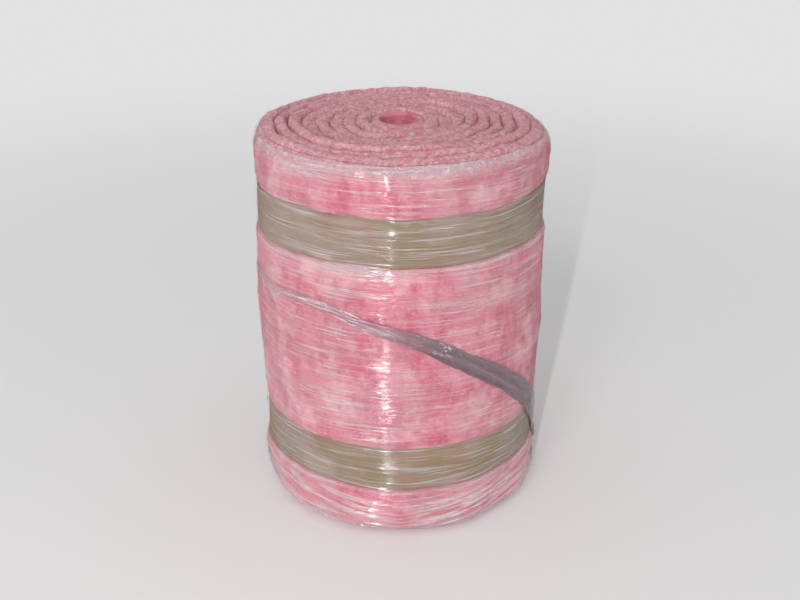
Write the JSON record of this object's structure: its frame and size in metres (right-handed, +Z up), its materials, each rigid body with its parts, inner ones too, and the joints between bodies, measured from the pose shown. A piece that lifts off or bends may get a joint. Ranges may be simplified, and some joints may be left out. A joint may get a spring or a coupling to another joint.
{
  "type": "insulation roll",
  "caption": "Glass wool blanket wound into an upright roll with an open eye, held by paper bands and sleeved in clear stretch film.",
  "frame": {"origin": "middle of the lower end's face, where the roll stands on the floor", "axes": "+Z up through the roll's eye, from the lower end to the upper; the roll shows its plain side to -Y, and its loose end and the paper laps lie towards +Y"},
  "size_m": [0.6222, 0.622, 0.84],
  "materials": {
    "glass_wool": "matte, soft and mottled, with fine fibres",
    "kraft_paper": "dull, uncoated, finely grained",
    "clear_film": "glossy and clear, finely pleated"
  },
  "bodies": {
    "root": {"insulation_blanket": "glass_wool", "upper_band": "kraft_paper", "lower_band": "kraft_paper", "stretch_film": "clear_film"}
  },
  "joints": []
}
